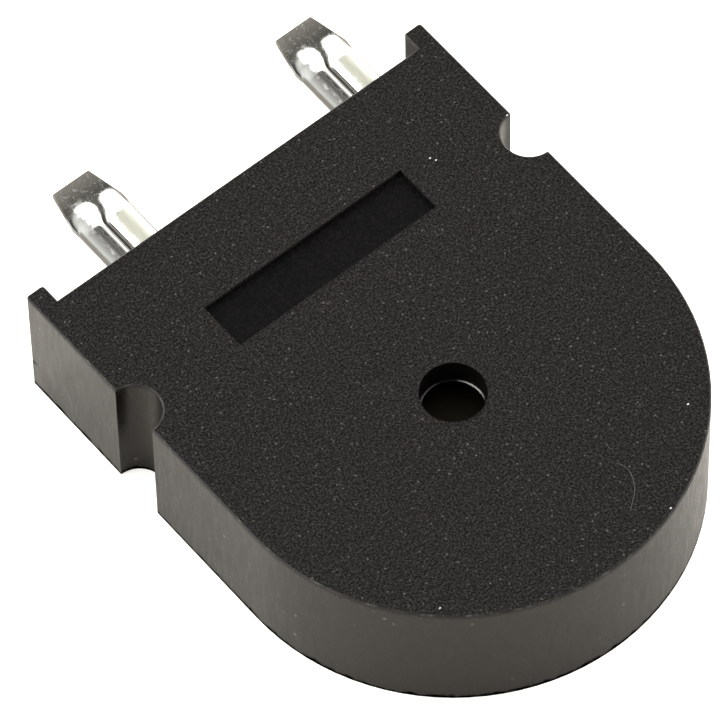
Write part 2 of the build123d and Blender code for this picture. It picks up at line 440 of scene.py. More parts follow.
def ragged_edge(tree, place, gap, reach, scale, detail, ends):
    """Give a mask for what lies within an uneven reach of an edge."""
    uneven = multiply(tree, noise(tree, place, scale, detail), 2 * reach)
    return remap(tree, math_node(tree, "DIVIDE", gap, uneven), *ends)


# Shared finishes


def new_group(name, inputs, outputs):
    """Start a shader node group with a vector input, float inputs and float outputs."""
    group = bpy.data.node_groups.new(name, "ShaderNodeTree")
    new_socket = group.interface.new_socket
    new_socket("Vector", in_out="INPUT", socket_type="NodeSocketVector")
    for label, value in inputs.items():
        socket = new_socket(label, in_out="INPUT", socket_type="NodeSocketFloat")
        socket.default_value = value
    for label in outputs:
        new_socket(label, in_out="OUTPUT", socket_type="NodeSocketFloat")
    start = group.nodes.new("NodeGroupInput")
    end = group.nodes.new("NodeGroupOutput")
    return group, start.outputs, end


def make_grain(name):
    """Spark-eroded grain: rough pits, as a height and as a tone with few light peaks."""
    group, given, end = new_group(name, {"Grain Scale": 8000.0}, ("Height", "Tone"))
    pits = noise(group, given["Vector"], given["Grain Scale"], detail=3.0, roughness=0.7)
    tone = math_node(group, "POWER", remap(group, pits, 0.32, 0.7), 2.0)
    set_inputs(group, end, {"Height": pits, "Tone": tone})
    return group


def make_specks(name):
    """Sparse specks: a few cells of a fine cell pattern, each with a dot in its middle."""
    group, given, end = new_group(name, {"Speck Scale": 4000.0, "Share": 0.04}, ("Mask",))
    inputs = {"Vector": given["Vector"], "Scale": given["Speck Scale"]}
    cells = add_node(group, "ShaderNodeTexVoronoi", inputs).outputs
    chance = add_node(group, "ShaderNodeTexWhiteNoise", {"Vector": cells["Position"]})
    drawn = math_node(group, "DIVIDE", chance.outputs["Value"], given["Share"])
    chosen = remap(group, drawn, 1.0, 0.0)
    dot = remap(group, cells["Distance"], 0.32, 0.1)
    set_inputs(group, end, {"Mask": multiply(group, chosen, dot)})
    return group


def make_streaks(name):
    """Drawn streaks: noise that is stretched by the scale given for each axis."""
    group, given, end = new_group(name, {f"Scale {a}": 1000.0 for a in "XYZ"}, ("Value",))
    inputs = {a: given[f"Scale {a}"] for a in "XYZ"}
    scales = add_node(group, "ShaderNodeCombineXYZ", inputs).outputs[0]
    stretched = vector_math(group, "MULTIPLY", given["Vector"], scales)
    set_inputs(group, end, {"Value": noise(group, stretched, 1.0, detail=3.0, roughness=0.6)})
    return group


SHARED_FINISHES = {
    "spark_grain": make_grain,
    "sparse_specks": make_specks,
    "drawn_streaks": make_streaks,
}


def place_group(tree, name, place, **values):
    """Place a shared finish, made when first asked for, and give its outputs."""
    group = bpy.data.node_groups.get(name) or SHARED_FINISHES[name](name)
    inputs = {"Vector": place, **spaced(values)}
    return add_node(tree, "ShaderNodeGroup", inputs, node_tree=group).outputs


def place_specks(tree, place, scale, share):
    """Place the sparse specks and give their mask."""
    return place_group(tree, "sparse_specks", place, Speck_Scale=scale, Share=share)["Mask"]


def place_streaks(tree, place, x, y, z):
    """Place the drawn streaks with a scale for each axis and give their value."""
    return place_group(tree, "drawn_streaks", place, Scale_X=x, Scale_Y=y, Scale_Z=z)["Value"]


# Materials


def new_material(name, **values):
    """Start a material and give it with its tree, Principled shader and object coordinates."""
    material = bpy.data.materials.new(name)
    material.use_nodes = True
    tree = material.node_tree
    tree.nodes.clear()
    shader = add_node(tree, "ShaderNodeBsdfPrincipled", spaced(values))
    add_node(tree, "ShaderNodeOutputMaterial", {"Surface": shader.outputs["BSDF"]})
    place = add_node(tree, "ShaderNodeTexCoord").outputs["Object"]
    return material, tree, shader, place


def feed(tree, shader, bump=None, depth=0.0, **sockets):
    """Link what changes over the surface to a shader, and a bump of some depth to its normal."""
    set_inputs(tree, shader, spaced(sockets))
    if bump is not None:
        node = add_node(tree, "ShaderNodeBump", {"Height": bump, "Distance": depth})
        set_inputs(tree, shader, {"Normal": node.outputs["Normal"]})


def scaled(color, share):
    """Give a colour at a share of its brightness."""
    return tuple(min(1.0, share * c) for c in color)


def toned(color, dark, light):
    """Give a colour at two shares of its brightness."""
    return scaled(color, dark), scaled(color, light)


def grained_plastic(name, props, ior, scale, dark, light, rough, smooth, depth):
    """Grained plastic whose tone and roughness follow its grain, with its nodes and its colour."""
    material, tree, shader, place = new_material(name, IOR=ior)
    grain = place_group(tree, "spark_grain", place, Grain_Scale=scale / props.grain_size)
    color = blend(tree, grain["Tone"], *toned(props.top_color, dark, light))
    roughness = remap(tree, grain["Tone"], 0.0, 1.0, rough, smooth)
    feed(tree, shader, Base_Color=color, Roughness=roughness, bump=grain["Height"],
         depth=depth * props.grain_depth)
    return material, tree, shader, place, color


def case_top_material(props):
    """Charcoal plastic with a spark-eroded grain and sparse bright specks, partly dust and partly
    painted glints.
    """
    material, tree, shader, place, color = grained_plastic(
        "case_top_charcoal", props, props.top_ior, scale=1.0, dark=0.05, light=11.0,
        rough=0.75, smooth=0.5, depth=2.0)
    # Sparse bright specks: partly dust, partly painted glints
    specks = place_specks(tree, place, scale=6500.0, share=0.2)
    feed(tree, shader, Base_Color=blend(tree, specks, color, props.dust_and_glint_color))
    return material


def recess_material(props):
    """Floor of the recess: the same plastic, smoother and darker."""
    return grained_plastic(
        "recess_floor_dark", props, props.recess_ior, scale=0.8, dark=0.1, light=2.0,
        rough=0.58, smooth=0.46, depth=1.0)[0]


def cover_material(props):
    """Fine matt plastic of the back cover."""
    return grained_plastic(
        "cover_fine_matt", props, props.side_ior, scale=1.4, dark=0.75, light=1.25,
        rough=0.56, smooth=0.44, depth=0.3)[0]


def case_side_material(props):
    """Satin plastic with upright draw marks, a few pale scuffs, a dark nick, a grained top edge,
    a painted contact shadow along the uneven bottom edge and painted shade between the ears.
    """
    material, tree, shader, place = new_material(
        "case_side_satin", IOR=props.side_ior, Specular_Tint=props.side_tint)
    streaks = place_streaks(tree, place, x=5000.0, y=5000.0, z=900.0)
    specks = place_specks(tree, place, scale=3600.0, share=0.04)
    x, y, z = axes(tree, place)
    # Painted contact shadow: a dark, uneven band along the bottom edge
    bottom = ragged_edge(
        tree, place, z, props.contact_shadow_height, scale=2500.0, detail=3.0, ends=CONTACT_SHADOW_ENDS)
    below_top = math_node(tree, "SUBTRACT", CASE_HIGH.z, z)
    rim = ragged_edge(
        tree, place, below_top, props.high_edge, scale=9000.0, detail=2.0, ends=HIGH_ENDS)
    from_nick = vector_math(tree, "SUBTRACT", place, props.nick_place)
    nick_gap = vector_math(tree, "LENGTH", vector_math(tree, "DIVIDE", from_nick, props.nick_size))
    black = math_node(tree, "MAXIMUM", bottom, remap(tree, nick_gap, *NICK_ENDS))
    # Painted shade between the ears: the faces there lose their shine
    inward = math_node(tree, "ABSOLUTE", x)
    between = multiply(
        tree, remap(tree, inward, *(CASE_HIGH.x - inset for inset in EAR_INSET)),
        remap(tree, y, *(CASE_HIGH.y - depth for depth in EAR_DEPTH)))
    color = blend(tree, streaks, *toned(props.side_color, dark=0.7, light=1.3))
    color = blend(tree, multiply(tree, specks, props.scuff), color, props.highlight_and_scuff_color)
    color = blend(tree, rim, color, props.edge_color)
    # Near black for the painted contact shadow and for the real nick
    color = blend(tree, black, color, scaled(props.side_color, 0.2))
    # No shine on the grained rim, the painted shade between the ears, the contact shadow and nick
    dull = multiply(tree, math_node(tree, "MAXIMUM", rim, between), props.dull)
    matt = math_node(tree, "MAXIMUM", black, dull)
    feed(tree, shader, Base_Color=color, Specular_IOR_Level=remap(tree, matt, 0.0, 1.0, 0.5, 0.0),
         Roughness=remap(tree, streaks, 0.25, 0.75, 0.24, 0.36), bump=streaks,
         depth=props.draw_depth)
    return material


def case_edge_material(props):
    """Broken edge of the case, with painted highlights: paler here and there."""
    material, tree, shader, place = new_material("case_edge_highlighted", IOR=props.side_ior)
    edge_noise = place_streaks(tree, place, x=2600.0, y=2600.0, z=2600.0)
    # Painted highlight: paler patches along the broken edge
    painted_highlight = remap(tree, edge_noise, 0.5, 0.7)
    color = blend(tree, painted_highlight, props.edge_color, scaled(props.highlight_and_scuff_color, 0.17))
    feed(tree, shader, Base_Color=color, Roughness=remap(tree, edge_noise, 0.3, 0.7, 0.4, 0.6),
         bump=edge_noise, depth=props.edge_bump_depth)
    return material


def bore_material(props):
    """Wall of the sound hole: black, with faint rings."""
    material, tree, shader, place = new_material("bore_black", Roughness=0.6, IOR=props.top_ior)
    rings = place_streaks(tree, place, x=1500.0, y=1500.0, z=9000.0)
    tones = toned(props.side_color, dark=0.5, light=1.5)
    feed(tree, shader, Base_Color=blend(tree, rings, *tones))
    return material


def lip_material(props):
    """Thin lip at the hole's inner end, with a painted highlight: bright at one side and faint at
    the other.
    """
    material, tree, shader, place = new_material("hole_lip", Roughness=0.4)
    right = (math.cos(LIP_TURN), math.sin(LIP_TURN), 0.0)
    aside = vector_math(tree, "DOT_PRODUCT", place, right)
    aside = math_node(tree, "DIVIDE", aside, props.bore_reach)
    bright = multiply(
        tree, remap(tree, aside, *LIP_BRIGHT_START), remap(tree, aside, *LIP_BRIGHT_END))
    faint = remap(tree, aside, *LIP_FAINT_START, 0.0, LIP_FAINT_SHINE)
    shine = math_node(tree, "MAXIMUM", bright, faint)
    color = blend(tree, shine, props.side_color, scaled(props.highlight_and_scuff_color, 2.2))
    feed(tree, shader, Base_Color=color)
    return material


def pin_place(tree, place):
    """Give a pin's own coordinates: across from its middle, out along it, and height."""
    x, y, z = axes(tree, place)
    shifted = math_node(tree, "SUBTRACT", x, PIN_X)
    inputs = {0: shifted, 1: 0.5 * PIN_PITCH, 2: -0.5 * PIN_PITCH}
    across = add_node(tree, "ShaderNodeMath", inputs, operation="WRAP").outputs[0]
    return across, y, z


def tin_material(props):
    """Tin plating: a left roll darkened by painted shade, with a painted reflection stripe on its
    crown, a bright right roll with a painted reflection on its crown and painted shade at its edge
    and the seam, and a dark coined tip that is partly painted shade.
    """
    material, tree, shader, place = new_material("tin_plating", Specular_IOR_Level=0.1)
    across, along, height = pin_place(tree, place)
    streaks = place_streaks(tree, place, x=16000.0, y=1500.0, z=16000.0)
    specks = place_specks(tree, place, scale=14000.0, share=0.6)
    blotches = math_node(tree, "SUBTRACT", noise(tree, place, 5000.0, detail=4.0), 0.5)
    wander = multiply(tree, blotches, props.stray)
    near_across = math_node(tree, "ADD", across, wander)
    near_along = math_node(tree, "ADD", along, wander)

    # Masks of the rolls' painted shade and painted reflections
    rolled = before(tree, near_along, props.roll_end, soft=0.0001)
    # Painted shade over the left roll
    left = before(tree, near_across, props.left_end, soft=0.0001)
    # Painted shade on the left roll's flank beside the seam
    inner = multiply(
        tree, after(tree, near_across, props.inner_start, soft=0.00007),
        before(tree, across, props.seam, soft=0.00001), rolled)
    # Painted reflection: a stripe along the left roll's crown
    scraped = multiply(
        tree, band(tree, near_across, props.left_crown, props.stripe_half, soft=0.00005), rolled)
    # Painted reflection: a pale yellow band along the right roll's crown
    frosted = multiply(
        tree, band(tree, near_across, props.right_crown, props.reflection_half, soft=0.00008), rolled)

    # Painted shade along the right roll's rim and in the seam where the rolls part
    rim = after(tree, across, props.half_width - props.rim_width, soft=0.00003)
    bend = remap(tree, along, props.thin_start, props.thin_end, props.seam, props.seam_end)
    from_seam = math_node(tree, "ABSOLUTE", math_node(tree, "SUBTRACT", across, bend))
    opening = remap(
        tree, along, props.thin_start, props.right_nose, props.seam_shade_start, props.seam_shade_end)
    parting = math_node(tree, "DIVIDE", from_seam, opening)
    seam_shade = multiply(
        tree, remap(tree, parting, *SEAM_SHADE_ENDS),
        remap(tree, near_along, props.left_nose, props.thin_end))
    grimy = math_node(tree, "MAXIMUM", rim, seam_shade)

    # Coined tip, with a wedge of it between the rolls: dark partly from the coining and partly from
    # painted shade
    tip_edge = PIN_MIDDLE + props.tip_half + props.tip_rise
    uneven = math_node(tree, "ADD", height, multiply(tree, wander, props.tip_stray))
    low = before(tree, uneven, tip_edge, soft=0.000045)
    wedge = multiply(
        tree, before(tree, from_seam, props.wedge_half, soft=0.000075),
        remap(tree, along, props.thin_start, props.taper_start))
    beyond = after(tree, near_along, props.taper_start + props.tip_start, soft=0.000125)
    coined = multiply(tree, low, math_node(tree, "MAXIMUM", wedge, beyond))
    # Painted shade: the tip is darker next to the rolls' noses and lighter toward its end
    toward_end = remap(tree, near_along, props.right_nose, PIN_HIGH.y)
    mottled = blend(tree, toward_end, *toned(props.tip_color, dark=0.55, light=1.45))
    speckled = blend(tree, specks, mottled, props.reflection_and_speck_color)

    # Colour and roughness, built up mask by mask
    tone = props.bright_color
    for mask, color in (
            (left, props.shaded_left_color), (inner, props.shaded_flank_color), (frosted, props.reflection_and_speck_color),
            (scraped, props.painted_stripe_color), (grimy, props.edge_and_seam_shade_color), (coined, speckled)):
        tone = blend(tree, mask, tone, color)
    drawn = remap(tree, streaks, 0.3, 0.7, 0.85, 1.0)
    roughness = props.roughness
    for mask, more in (
            (frosted, props.crown_rough), (left, props.left_roll_rough), (coined, props.tip_rough)):
        roughness = math_node(tree, "ADD", roughness, multiply(tree, mask, more))
    relief = math_node(tree, "ADD", streaks, multiply(tree, specks, coined))
    feed(tree, shader, Base_Color=vector_math(tree, "MULTIPLY", tone, drawn), Roughness=roughness,
         Metallic=math_node(tree, "SUBTRACT", 1.0, grimy), bump=relief, depth=props.relief)
    return material


def sheet_material(name, first, second, roughness, metallic, scale):
    """A hidden sheet or coat: two close tones, mottled at the given scale."""
    material, tree, shader, place = new_material(name, Metallic=metallic)
    streaks = place_streaks(tree, place, x=scale, y=0.2 * scale, z=scale)
    rough = remap(tree, streaks, 0.25, 0.75, 0.85 * roughness, 1.15 * roughness)
    feed(tree, shader, Base_Color=blend(tree, streaks, first, second), Roughness=rough,
         bump=streaks, depth=0.000002)
    return material


def pale_material(name, color):
    """Pale dust, fibre and painted glints: one colour mottled from spot to spot."""
    material, tree, shader, place = new_material(name, Roughness=0.8)
    tones = toned(color, dark=0.5, light=1.5)
    feed(tree, shader, Base_Color=blend(tree, noise(tree, place, scale=3000.0), *tones))
    return material


def floor_material(props):
    """Plain pale floor with the faintest cloud in it, which glows where the camera sees it."""
    material, tree, shader, place = new_material(
        "pale_floor", Roughness=0.9, Emission_Color=(1.0, 1.0, 1.0))
    tones = toned(props.floor_color, dark=0.99, light=1.01)
    seen = add_node(tree, "ShaderNodeLightPath").outputs["Is Camera Ray"]
    feed(tree, shader, Base_Color=blend(tree, noise(tree, place, scale=30.0), *tones),
         Emission_Strength=multiply(tree, seen, props.floor_glow))
    return material


# Mesh helpers


def merged_copy(node):
    """Copy a CAD node's mesh and merge its doubles."""
    work = bmesh.new()
    work.from_mesh(frame["nodes"][node].data)
    bmesh.ops.remove_doubles(work, verts=work.verts, dist=MERGE_GAP)
    return work


def finished_mesh(work, name, *materials):
    """Turn what was worked on into a mesh with the given materials."""
    mesh = bpy.data.meshes.new(name)
    work.to_mesh(mesh)
    work.free()
    for material in materials:
        mesh.materials.append(material)
    return mesh


def new_object(name, mesh):
    """Put a mesh in the scene as an object at the origin."""
    piece = bpy.data.objects.new(name, mesh)
    bpy.context.scene.collection.objects.link(piece)
    return piece


def shade(mesh, limit):
    """Shade a mesh smooth, with edges that bend more than the limit kept sharp."""
    work = bmesh.new()
    work.from_mesh(mesh)
    for face in work.faces:
        face.smooth = True
    for edge in work.edges:
        edge.smooth = edge.is_manifold and edge.calc_face_angle(0.0) < limit
    work.to_mesh(mesh)
    work.free()


def apply_tree(piece, tree, **values):
    """Run a geometry tree on a piece, its inputs set by identifier, and keep the plain mesh."""
    modifier = piece.modifiers.new(tree.name, "NODES")
    modifier.node_group = tree
    inputs = {s.name: s.identifier for s in tree.interface.items_tree if s.in_out == "INPUT"}
    for key, value in spaced(values).items():
        modifier[inputs[key]] = value
    bpy.context.view_layer.update()
    graph = bpy.context.evaluated_depsgraph_get()
    mesh = bpy.data.meshes.new_from_object(piece.evaluated_get(graph), depsgraph=graph)
    piece.modifiers.clear()
    piece.data = mesh


def inside_and_clear(points, starts, ends, clearance):
    """Tell which points lie within the loops of the segments and keep clear of every segment."""
    inside = np.zeros(len(points), bool)
    clear = np.ones(len(points), bool)
    x, y = points[:, 0], points[:, 1]
    for (ax, ay), (bx, by) in zip(starts, ends):
        if ay != by:
            inside ^= ((ay > y) != (by > y)) & (x < (bx - ax) * (y - ay) / (by - ay) + ax)
        dx, dy = bx - ax, by - ay
        share = np.clip(((x - ax) * dx + (y - ay) * dy) / (dx * dx + dy * dy), 0, 1)
        clear &= np.hypot(x - ax - share * dx, y - ay - share * dy) > clearance
    return inside & clear


def flat_faces(work, height):
    """Give the upward faces at a height."""
    return [
        f for f in work.faces
        if f.normal.z > FLAT_SLOPE and abs(f.calc_center_median().z - height) < HEIGHT_SLACK
    ]


def outer_edges(faces):
    """Give the edges round a set of faces."""
    return [e for f in faces for e in f.edges if sum(g in faces for g in e.link_faces) == 1]


def fill_flat_region(work, faces, step, jitter, seed):
    """Replace flat faces by an even triangle mesh on the same rim, and return the new faces."""
    chosen = set(faces)
    for edge in outer_edges(chosen):
        cuts = int(edge.calc_length() / step)
        if cuts:
            bmesh.ops.bisect_edges(work, edges=[edge], cuts=cuts)
    rim = outer_edges(chosen)
    corners = list({v for e in rim for v in e.verts})
    height = corners[0].co.z
    index = {v: i for i, v in enumerate(corners)}
    bmesh.ops.delete(work, geom=faces, context="FACES_ONLY")
    loose = [e for e in work.edges if not e.link_faces]
    bmesh.ops.delete(work, geom=loose, context="EDGES")
    flat = np.array([v.co.xy for v in corners]) / step
    edges = [(index[e.verts[0]], index[e.verts[1]]) for e in rim]
    low, high = flat.min(0), flat.max(0)
    rows = np.arange(low[1], high[1], math.sqrt(3) / 2)
    columns = np.arange(low[0], high[0], 1.0)
    grid = np.array([(x + 0.5 * (i % 2), y) for i, y in enumerate(rows) for x in columns])
    grid += np.random.default_rng(seed).uniform(-jitter, jitter, grid.shape)
    starts = flat[[a for a, b in edges]]
    ends = flat[[b for a, b in edges]]
    grid = grid[inside_and_clear(grid, starts, ends, RIM_CLEARANCE)]
    points = [Vector(p) for p in np.vstack([flat, grid])]
    spots, _, triangles, origins, _, _ = delaunay_2d_cdt(points, edges, [], 0, POINT_SLACK)
    middles = np.array([sum((spots[i] for i in t), Vector((0, 0))) / 3 for t in triangles])
    kept = inside_and_clear(middles, starts, ends, 0.0)
    made = []
    for spot, origin in zip(spots, origins):
        rim_index = min(origin) if origin else len(corners)
        if rim_index < len(corners):
            made.append(corners[rim_index])
        else:
            made.append(work.verts.new((spot.x * step, spot.y * step, height)))
    return [work.faces.new([made[i] for i in t]) for t, keep in zip(triangles, kept) if keep]


def ease(value, low, high):
    """Rise smoothly from 0 at the low value to 1 at the high one."""
    share = np.clip((value - low) / (high - low), 0, 1)
    return share * share * (3 - 2 * share)


def soft_max(first, second, rounding):
    """Give the greater of two heights, with a rounded change from one to the other."""
    share = np.clip(0.5 + 0.5 * (first - second) / rounding, 0, 1)
    return second + (first - second) * share + rounding * share * (1 - share)


def roll_height(across, along, middle, half, nose, props):
    """Give a roll's height over the pin's mid plane: round, then thinner, then a soft nose."""
    seam_side = (across > middle) == (middle < props.seam)
    nose_start = np.where(seam_side, props.thin_end, nose - props.nose_length)
    reach = np.clip((along - nose_start) / (nose - nose_start), 0, NEARLY_ONE)
    spots = (props.cut, props.thin_start, props.thin_end, nose)
    heights = (props.full_half, props.full_half, props.end_half, NOSE_SHARE * props.tip_half)
    crown = np.interp(along, spots, heights)
    offset = np.abs(across - middle) / (half * np.sqrt(1 - reach**NOSE_POWER))
    fullness = np.where(seam_side, SEAM_FULLNESS, OUTER_FULLNESS)
    softness = 1 + NOSE_SOFTNESS * ease(along, props.thin_start, props.thin_end)
    return crown * np.clip(1 - offset**fullness, 0, None) ** (softness / fullness)


def pin_grid(props):
    """Lay out a pin's points: across from its middle, along it, and heights above and below."""
    bend = ease(np.linspace(0, 1, props.points_along), *ROW_EASE)
    rows = props.cut + (PIN_HIGH.y - props.cut) * (bend - bend[0]) / (bend[-1] - bend[0])
    along = rows[:, None]
    taper = np.clip((along - props.taper_start) / (PIN_HIGH.y - props.taper_start), 0, 1)
    parting = ease(along, props.thin_start, props.thin_end)
    side = props.half_width + (props.tip_half_width - props.half_width) * taper
    seam = props.seam + (props.seam_end - props.seam) * parting
    spread = 0.5 - 0.5 * np.cos(np.linspace(0, math.pi, props.points_across))[None, :]
    across = np.hstack([-side + (side + seam) * spread[:, :-1], seam + (side - seam) * spread])
    along = along + np.zeros_like(across)
    left_half = 0.5 * (side + seam - props.seam_half)
    right_half = 0.5 * (side - seam - props.seam_half)
    left_middle = left_half - side
    right_middle = side - right_half
    tip = props.tip_half * ease(along, props.thin_start, props.taper_start)
    flat = np.minimum(tip + props.web_half, props.tip_half)
    left = roll_height(across, along, left_middle, left_half, props.left_nose, props)
    right = roll_height(across, along, right_middle, right_half, props.right_nose, props)
    rounding = props.seam_round + props.nose_round * parting
    above = soft_max(np.maximum(left, right), flat, rounding)
    beyond_left = (left_middle - across) / left_half
    beyond_right = (across - right_middle) / right_half
    beyond = np.maximum(np.maximum(beyond_left, beyond_right), 0)
    spots = (props.cut, props.thin_start, props.thin_end, props.left_nose)
    heights = (props.full_half, props.full_half, props.end_half, props.tip_half)
    belly = np.interp(along, spots, heights)
    below = np.maximum(belly * np.sqrt(np.clip(1 - beyond * beyond, 0, 1)), flat)
    return across, along, above, below


def add_skin(work, lower, upper):
    """Join two grids of points, one above the other, into a closed skin."""
    rows, columns, _ = upper.shape
    above = [[work.verts.new(p) for p in row] for row in upper]
    below = [[work.verts.new(p) for p in row] for row in lower]
    new_face = work.faces.new
    for j in range(rows - 1):
        for i in range(columns - 1):
            new_face((above[j][i], above[j][i + 1], above[j + 1][i + 1], above[j + 1][i]))
            new_face((below[j][i], below[j + 1][i], below[j + 1][i + 1], below[j][i + 1]))
        new_face((below[j + 1][0], below[j][0], above[j][0], above[j + 1][0]))
        new_face((below[j][-1], below[j + 1][-1], above[j + 1][-1], above[j][-1]))
    for i in range(columns - 1):
        new_face((below[0][i], below[0][i + 1], above[0][i + 1], above[0][i]))
        new_face((below[-1][i + 1], below[-1][i], above[-1][i], above[-1][i + 1]))


# Geometry trees


def new_tree(name, **inputs):
    """Start a geometry tree, with kinds of sockets for its inputs, and give what it is given."""
    tree = bpy.data.node_groups.new(name, "GeometryNodeTree")
    for label, kind in spaced({"Geometry": "Geometry", **inputs, "Material": "Material"}).items():
        tree.interface.new_socket(label, in_out="INPUT", socket_type=f"NodeSocket{kind}")
    tree.interface.new_socket("Geometry", in_out="OUTPUT", socket_type="NodeSocketGeometry")
    return tree, tree.nodes.new("NodeGroupInput").outputs


def end_tree(tree, geometry, **painting):
    """End a geometry tree in plain meshes with a material."""
    plain = add_node(tree, "GeometryNodeRealizeInstances", {"Geometry": geometry})
    inputs = {"Geometry": plain.outputs[0], **painting}
    painted = add_node(tree, "GeometryNodeSetMaterial", inputs)
    add_node(tree, "NodeGroupOutput", {"Geometry": painted.outputs[0]})


def grain_tree():
    """Geometry nodes that press a grain into the points marked by the attribute named grain."""
    tree, given = new_tree("spark_eroded_grain", Grain_Size="Float", Depth="Float", Seed="Float")
    marked = add_node(
        tree, "GeometryNodeInputNamedAttribute", {"Name": "grain"}, data_type="FLOAT").outputs[0]
    inputs = {
        "Vector": add_node(tree, "GeometryNodeInputPosition").outputs[0], "W": given["Seed"],
        "Scale": math_node(tree, "DIVIDE", 1.0, given["Grain Size"]), "Detail": 1.0}
    pits = add_node(tree, "ShaderNodeTexNoise", inputs, noise_dimensions="4D").outputs["Fac"]
    down = multiply(tree, pits, given["Depth"], marked, -1.0)
    offset = add_node(tree, "ShaderNodeCombineXYZ", {"Z": down}).outputs[0]
    moved = add_node(
        tree, "GeometryNodeSetPosition", {"Geometry": given["Geometry"], "Offset": offset})
    end_tree(tree, moved.outputs[0], Material=given["Material"], Selection=marked)
    return tree


def dust_tree():
    """Geometry nodes that scatter flattened specks over a surface."""
    tree, given = new_tree("settled_dust", Density="Float", Speck_Radius="Float", Seed="Int")
    points = add_node(
        tree, "GeometryNodeDistributePointsOnFaces",
        {"Mesh": given["Geometry"], "Density": given["Density"], "Seed": given["Seed"]})
    sink = multiply(tree, given["Speck Radius"], -SPECK_SINK)
    drop = add_node(tree, "ShaderNodeCombineXYZ", {"Z": sink}).outputs[0]
    sunk = add_node(
        tree, "GeometryNodeSetPosition", {"Geometry": points.outputs["Points"], "Offset": drop})
    speck = add_node(
        tree, "GeometryNodeMeshIcoSphere", {"Radius": given["Speck Radius"], "Subdivisions": 1})
    turn, scale = (
        add_node(
            tree, "FunctionNodeRandomValue", {0: least, 1: most, "Seed": given["Seed"]},
            data_type="FLOAT_VECTOR").outputs[0]
        for least, most in (((0, 0, 0), (0, 0, math.tau)), (SPECK_LEAST, SPECK_MOST)))
    placed = add_node(
        tree, "GeometryNodeInstanceOnPoints",
        {"Points": sunk.outputs[0], "Instance": speck.outputs["Mesh"], "Rotation": turn,
         "Scale": scale})
    end_tree(tree, placed.outputs[0], Material=given["Material"])
    return tree


# Operators


class BUZZER_OT_case(bpy.types.Operator):
    """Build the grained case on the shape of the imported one"""

    bl_idname = "buzzer.case"
    bl_label = "Case"

    def execute(self, context):
        props = context.scene.buzzer.case
        makers = (
            case_side_material, case_top_material, recess_material, case_edge_material,
            bore_material, lip_material)
        materials = [make(props) for make in makers]
        work = merged_copy("case")
        bmesh.ops.recalc_face_normals(work, faces=work.faces)
        for face in work.faces:
            face.material_index = self.choose_finish(face, props.bore_reach)
        floor = fill_flat_region(
            work, flat_faces(work, CASE_HIGH.z - props.recess_depth), 2 * props.mesh_step,
            FLOOR_JITTER, props.seed)
        top = fill_flat_region(
            work, flat_faces(work, CASE_HIGH.z), props.mesh_step, TOP_JITTER, props.seed)
        for faces, finish in ((floor, RECESS), (top, TOP)):
            for face in faces:
                face.material_index = finish
        mark = work.verts.layers.float.new("grain")
        for vertex in {v for face in top for v in face.verts}:
            if all(f.material_index == TOP for f in vertex.link_faces):
                vertex[mark] = 1.0
        piece = new_object("case_shell", finished_mesh(work, "case_shell", *materials))
        apply_tree(
            piece, grain_tree(), Grain_Size=2 * props.grain_size, Depth=props.grain_depth,
            Seed=float(props.seed), Material=materials[TOP])
        shade(piece.data, props.smooth_angle)
        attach(piece, BODY)
        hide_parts("case")
        return {"FINISHED"}

    def choose_finish(self, face, bore_reach):
        """Tell the finish of a face from its place and slope."""
        if face.calc_center_median().xy.length < bore_reach:
            return BORE if abs(face.normal.z) < WALL_SLOPE else LIP
        return EDGE if EDGE_SLOPES[0] < face.normal.z < EDGE_SLOPES[1] else SIDE


class BUZZER_OT_cover(bpy.types.Operator):
    """Finish the back cover"""

    bl_idname = "buzzer.cover"
    bl_label = "Back Cover"

    def execute(self, context):
        material = cover_material(context.scene.buzzer.case)
        frame["nodes"]["back_cover"].material_slots[0].material = material
        return {"FINISHED"}


class BUZZER_OT_terminals(bpy.types.Operator):
    """Finish the two terminals"""

    bl_idname = "buzzer.terminals"
    bl_label = "Terminals"

    def execute(self, context):
        props = context.scene.buzzer.pins
        tin = tin_material(props)
        grid = pin_grid(props)
        for name, middle in (
                ("electrode_terminal", PIN_X), ("plate_terminal", PIN_X + PIN_PITCH)):
            mesh = self.make_terminal(name, middle, grid, props.cut, tin)
            shade(mesh, props.smooth_angle)
            piece = new_object(name.replace("terminal", "strip"), mesh)
            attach(piece, BODY)
            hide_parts(name)
        return {"FINISHED"}

    def make_terminal(self, name, middle, grid, cut, material):
        """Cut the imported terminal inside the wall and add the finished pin."""
        work = merged_copy(name)
        everything = work.verts[:] + work.edges[:] + work.faces[:]
        outward = (0, 1, 0)
        found = bmesh.ops.bisect_plane(
            work, geom=everything, dist=0.1 * MERGE_GAP, plane_co=(0, cut, 0), plane_no=outward,
            clear_outer=True)
        rim = [e for e in found["geom_cut"] if isinstance(e, bmesh.types.BMEdge)]
        bmesh.ops.triangle_fill(work, edges=rim, use_beauty=True, normal=outward)
        across, along, above, below = grid
        upper = np.dstack([middle + across, along, PIN_MIDDLE + above])
        lower = np.dstack([middle + across, along, PIN_MIDDLE - below])
        add_skin(work, lower, upper)
        bmesh.ops.recalc_face_normals(work, faces=work.faces)
        return finished_mesh(work, name, material)


